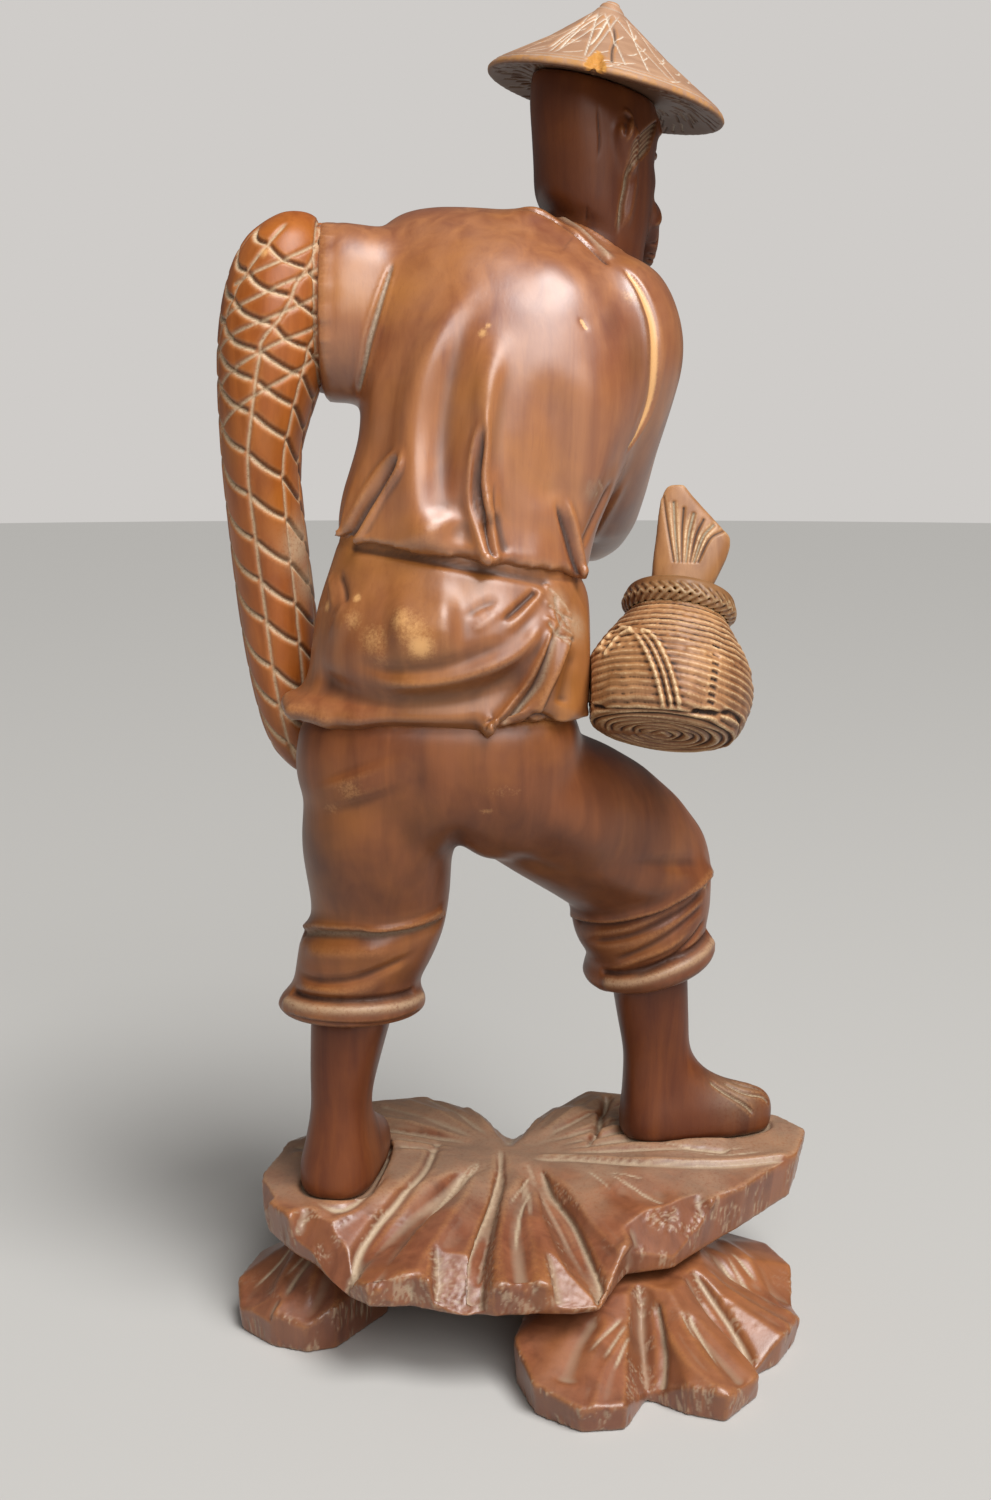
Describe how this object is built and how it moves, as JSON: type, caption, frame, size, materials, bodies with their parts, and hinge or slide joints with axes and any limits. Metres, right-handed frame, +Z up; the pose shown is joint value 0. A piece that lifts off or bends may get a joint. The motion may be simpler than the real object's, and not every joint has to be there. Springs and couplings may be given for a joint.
{
  "type": "carved wooden figure",
  "caption": "Carved hardwood fisherman in a cone hat, stooping on a tiered rock base, with a folded net over the left arm and a woven creel at the hip.",
  "frame": {"origin": "on the floor under the middle of the rock base", "axes": "+Z up, +Y the way the figure faces, +X to the figure's right"},
  "size_m": [0.184, 0.136, 0.4008],
  "materials": {
    "figure_wood": "oiled and worn to a gloss",
    "rock_wood": "matter, with dust in the cuts",
    "worn_wood": "satin, with pale cuts",
    "dowel_wood": "bare"
  },
  "bodies": {
    "root": {"left_lower_rock": "rock_wood", "right_lower_rock": "rock_wood", "far_lower_rock": "rock_wood", "upper_rock": "rock_wood", "left_leg": "figure_wood", "right_leg": "figure_wood", "trousers": "figure_wood", "coat_skirt": "figure_wood", "jacket": "figure_wood", "right_arm": "figure_wood", "left_sleeve": "figure_wood", "left_forearm": "figure_wood", "net": "worn_wood", "head": "figure_wood", "hat": "worn_wood", "basket": "worn_wood", "basket_ring": "worn_wood", "fish_tail": "worn_wood", "body_dowels": "dowel_wood", "limb_dowels": "dowel_wood", "small_dowels": "dowel_wood", "rock_dowels": "dowel_wood"}
  },
  "joints": []
}
